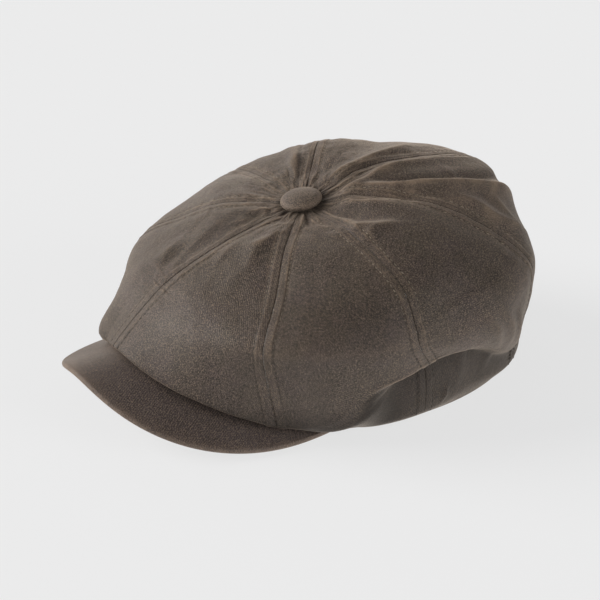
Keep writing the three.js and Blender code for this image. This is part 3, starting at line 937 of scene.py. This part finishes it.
for number, panel_name in enumerate(panel_names):
    places = np.broadcast_to(row_places[:, None], (len(row_places), columns + 1))
    shares = np.broadcast_to(column_shares, places.shape)
    angles = (number + shares) * panel_angle
    from_button = crown_base(angles, places)[..., :2] - (0, rings[0][1])
    inset = np.degrees(panel_gap / 2 / np.hypot(from_button[..., 0], from_button[..., 1]))
    angles = np.clip(angles, number * panel_angle + inset, (number + 1) * panel_angle - inset)
    smooth = crown_base(angles, places)
    points = crown_surface(angles, places)
    cut = flat_lengths(smooth)
    wear = worn_places(angles, places, smooth, points)
    # dark seams, and painted shade round the button, low on the wall and below the side crease
    dark_seams_and_shade = seams_and_painted_shade(angles, places, smooth, points, cut[..., 1])
    panel = cloth_grid(f"crown_cloth_{panel_name}", points, cut, wear, dark_seams_and_shade, crown_finish)
    wall = panel.modifiers.new("wall", "SOLIDIFY")
    wall.thickness = cloth_wall / 1000
    wall.offset = -1
    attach(panel, "root")
    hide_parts(f"crown_panel_{panel_name}")
print("panels:", len(panel_names))

# %% [markdown]
# ## Stitching
# Two rows of thread run beside every seam, from under the button down to the rim. Each stitch is
# a small stretched ball that lies along the row, half sunk in the cloth. A curve with a bevel
# could stand for a whole row, but it would show no stitches.

# %% Rows of stitches
thread_length, thread_thickness = 2.2, 0.55
thread_pale, thread_dark, thread_low = (0.30, 0.245, 0.18), (0.12, 0.098, 0.073), (0.045, 0.036, 0.027)
stitch_from, stitch_until = 0.3, 6.4
row_samples = 900
# Nearer to the button than this the rows run on side by side
row_least_radius = 2.6 * row_offset
seam_names = ["front", "front_left", "left", "back_left", "back", "back_right", "right", "front_right"]
print("stitches are", thread_length, "mm long and", stitch_pitch, "mm apart")


# %% Stitches of all seams
def row_of_stitches(bm, seam, side):
    """Adds one row of stitches beside a seam."""
    place = np.linspace(stitch_from, stitch_until, row_samples)
    angle = np.full_like(place, seam * panel_angle)
    radius = np.hypot(*crown_base(angle, place)[:, :2].T)
    angle = angle + side * np.degrees(row_offset / np.maximum(radius, row_least_radius))
    path = crown_surface(angle, place)
    run = np.concatenate([[0], np.cumsum(np.linalg.norm(np.diff(path, axis=0), axis=1))])
    count = int(run[-1] / stitch_pitch)
    marks = (np.arange(count) + 0.5) * stitch_pitch

    def at(values):
        return np.stack([np.interp(marks, run, values[:, axis]) for axis in range(3)], axis=1)

    middles, starts = at(path), at(np.gradient(path, axis=0))
    outward = at(crown_outward(angle, place))
    for middle, along, up in zip(middles, starts, outward):
        along = Vector(along).normalized()
        across = Vector(up).cross(along).normalized()
        lift = along.cross(across)
        turned = Matrix((along, across, lift)).transposed().to_4x4()
        size = Matrix.Diagonal((thread_length / 2000, thread_thickness / 2000, thread_thickness / 2000, 1))
        where = Matrix.Translation(Vector(middle) / 1000)
        bmesh.ops.create_uvsphere(bm, u_segments=6, v_segments=4, radius=1, matrix=where @ turned @ size)
    return count


def thread_material():
    """Waxed thread, a little paler than the cloth high up and darker towards the rim."""
    material = bpy.data.materials.new("waxed thread")
    material.use_nodes = True
    tree = material.node_tree
    shader = tree.nodes["Principled BSDF"]
    place = add_node(tree, "ShaderNodeTexCoord").outputs["Object"]
    tone = spread(tree, noise_of(tree, place, 260, 3), 0.35, 0.65)
    rising = add_node(tree, "ShaderNodeSeparateXYZ")
    tree.links.new(place, rising.inputs[0])
    thread = blend_colours(tree, tone, thread_dark, thread_pale)
    high = spread(tree, rising.outputs["Z"], 0.05, 0.085)
    thread = blend_colours(tree, high, thread_low, thread)
    tree.links.new(thread, shader.inputs["Base Color"])
    shader.inputs["Roughness"].default_value = 0.6
    bump = add_node(tree, "ShaderNodeBump")
    bump.inputs["Strength"].default_value = 0.4
    bump.inputs["Distance"].default_value = 0.0001
    tree.links.new(noise_of(tree, place, 2600, 1), bump.inputs["Height"])
    tree.links.new(bump.outputs["Normal"], shader.inputs["Normal"])
    return material


thread_finish = thread_material()
stitch_count = 0
for seam, seam_name in enumerate(seam_names):
    bm = bmesh.new()
    for side in (-1, 1):
        stitch_count += row_of_stitches(bm, seam, side)
    for face in bm.faces:
        face.smooth = True
    stitches = object_from(bm, f"stitches_{seam_name}", thread_finish)
    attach(stitches, "root")
print("stitches:", stitch_count)

# %% [markdown]
# ## Peak
# The peak's cloth wraps round the board's edge, so it is one sleeve: over the top from the crown
# to the edge, round the edge, and back underneath. A grid is bent into that sleeve, and the open
# sides are filled. Two flat sheets would be simpler, but they need a third strip for the edge,
# and two seams would show. The edge is painted pale: partly rubbed wear, as on every cap that has
# been handled, and partly a painted highlight where the rounded edge catches the light.

# %% Shape of the peak's sleeve
peak_columns, peak_rows_flat, peak_rows_round = 150, 34, 10
peak_edge_bead, peak_edge_share = 0.25, 0.06
peak_upright_root = 0.33
# width of the pale band along the edge, share of the wear and painted highlight
peak_wear_and_highlight_bands = [(0.055, 0.4), (0.12, 0.22)]


def peak_width(share):
    """How far the peak reaches from the rim at a share of its half angle."""
    return peak_reach * (1 - np.abs(share) ** peak_outline_fullness) ** 2


def peak_middle(share, reach):
    """The middle of the board's thickness."""
    angle = share * peak_half_angle
    radius = rim_radius(angle) + peak_sewing_gap + (peak_width(share) - peak_sewing_gap) * reach
    x = radius * np.sin(np.radians(angle))
    y = rim_centre_y - radius * np.cos(np.radians(angle))
    droop = peak_corner_droop * bell(share - peak_corner_share, peak_corner_width) * reach ** 2
    return np.stack([x, y, peak_height(x, y) - droop], axis=-1)


def unit(vectors):
    """Vectors of length one."""
    return vectors / np.linalg.norm(vectors, axis=-1, keepdims=True)


def peak_sleeve(share, around):
    """Points of the sleeve. around runs from -1 at the root below, round the edge, to 1 at the root above."""
    top = np.sign(around)
    reach = np.clip((1 - np.abs(around)) / (1 - peak_edge_share), 0, 1)
    middle = peak_middle(share, reach)
    x, y = middle[..., 0], middle[..., 1]
    slope_x = peak_height(x + 0.5, y) - peak_height(x - 0.5, y)
    slope_y = peak_height(x, y + 0.5) - peak_height(x, y - 0.5)
    normal = unit(np.stack([-slope_x, -slope_y, np.ones_like(x)], axis=-1))
    root = smooth_step(reach, 0, peak_upright_root)[..., None]
    normal = unit(np.array([0, 0, 1]) * (1 - root) + normal * root)
    outward = unit(peak_middle(share, np.ones_like(share)) - peak_middle(share, np.full_like(share, 0.98)))
    turn = np.clip(np.abs(around) / peak_edge_share, 0, 1) * (math.pi / 2)
    half = peak_thickness / 2 + peak_edge_bead * bell(1 - reach, 0.03)
    across = normal * (np.sin(turn) * half * top)[..., None]
    back = outward * ((np.cos(turn) - 1) * half)[..., None]
    return middle + across + back + footprint_shift


corner_height = float(peak_middle(peak_corner_share, 1)[2])
print("the drooping corner stands", round(corner_height, 1), "mm high at its edge")

# %% Peak
around = np.concatenate([
    np.linspace(-1, -peak_edge_share, peak_rows_flat, endpoint=False),
    np.linspace(-peak_edge_share, peak_edge_share, peak_rows_round + 1),
    np.linspace(peak_edge_share, 1, peak_rows_flat + 1)[1:],
])
share = np.linspace(peak_end_share, -peak_end_share, peak_columns + 1)
share_grid, around_grid = np.meshgrid(share, around)
points = peak_sleeve(share_grid, around_grid)
cut = flat_lengths(points)
# pale band along the edge: rubbed wear and a painted highlight of the lit edge
wear = sum(pale_share * bell(around_grid, width) for width, pale_share in peak_wear_and_highlight_bands)
peak = cloth_grid("peak_cloth", points, cut, wear, np.zeros_like(wear), peak_finish)
bm = bmesh.new()
bm.from_mesh(peak.data)
bmesh.ops.holes_fill(bm, edges=[e for e in bm.edges if e.is_boundary], sides=0)
bmesh.ops.recalc_face_normals(bm, faces=bm.faces)
bm.to_mesh(peak.data)
bm.free()
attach(peak, "root")
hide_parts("peak")
print("peak:", len(peak.data.polygons), "faces")

# %% [markdown]
# ## Button
# The button is a metal cup covered with the same cloth, held in the middle where the eight tips
# meet. It is turned like a bowl: a half section is spun round its axis, and then the cloth's
# small gathers are pressed into its lower edge. A squashed ball would be quicker, but it has
# neither the flat top nor the tight round edge of a covered button.

# %% Button
button_tilt = 11
button_seat = np.array([-0.8, 1.7, 97.2])
button_section = [
    (0, -4), (2.4, -4), (2.4, 0.2), (6, 0), (9.4, 0.05), (10.9, 0.7), (11.5, 1.8),
    (11.5, 2.5), (11, 3.5), (9.6, 4.5), (7.6, 5.3), (5, 5.95), (2.4, 6.25), (0, 6.35),
]
button_steps = 72
# depth, number round the button, turn
edge_gathers = [(0.1, 23, 0), (0.08, 14, 1)]
gathered_from = 8

bm = bmesh.new()
section = [bm.verts.new((radius, 0, height)) for radius, height in button_section]
edges = [bm.edges.new(pair) for pair in zip(section, section[1:])]
bmesh.ops.spin(
    bm, geom=section + edges, cent=(0, 0, 0), axis=(0, 0, 1),
    angle=2 * math.pi, steps=button_steps, use_merge=True, use_duplicate=False,
)
bmesh.ops.remove_doubles(bm, verts=bm.verts, dist=0.001)
bmesh.ops.recalc_face_normals(bm, faces=bm.faces)
print("button turned:", len(bm.faces), "faces")

# %% Gathers and finish of the button
wear_layer = bm.verts.layers.float.new("wear")
dark_seams_and_shade_layer = bm.verts.layers.float.new("dark_seams_and_shade")
cut_layer = bm.loops.layers.uv.new("cut")
tilt = Matrix.Rotation(math.radians(button_tilt), 3, "X")
flat_places = {}
for vert in bm.verts:
    flat_places[vert] = vert.co.xy / 1000
    radius = vert.co.xy.length
    turn = math.atan2(vert.co.y, vert.co.x)
    gathers = sum(depth * math.sin(turn * count + start) for depth, count, start in edge_gathers)
    low = bell(vert.co.z - 0.9, 1.1)
    if radius > gathered_from:
        vert.co.xy *= 1 + gathers * low / radius
    vert[wear_layer] = 0.55 * bell(radius - 10.9, 0.8) * (vert.co.z > 1.5)
    # painted shade on the button's lower edge, where it sits in the cloth
    vert[dark_seams_and_shade_layer] = 0.8 * (1 - smooth_step(vert.co.z, 0.3, 2.4))
    vert.co = (tilt @ vert.co + Vector(button_seat + footprint_shift)) / 1000
for face in bm.faces:
    face.smooth = True
    for loop in face.loops:
        loop[cut_layer].uv = flat_places[loop.vert]
button = object_from(bm, "button_cloth", button_finish)
soften = button.modifiers.new("soften", "SUBSURF")
soften.levels = soften.render_levels = 1
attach(button, "root")
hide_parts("button")
print("button:", len(button.data.polygons), "faces")
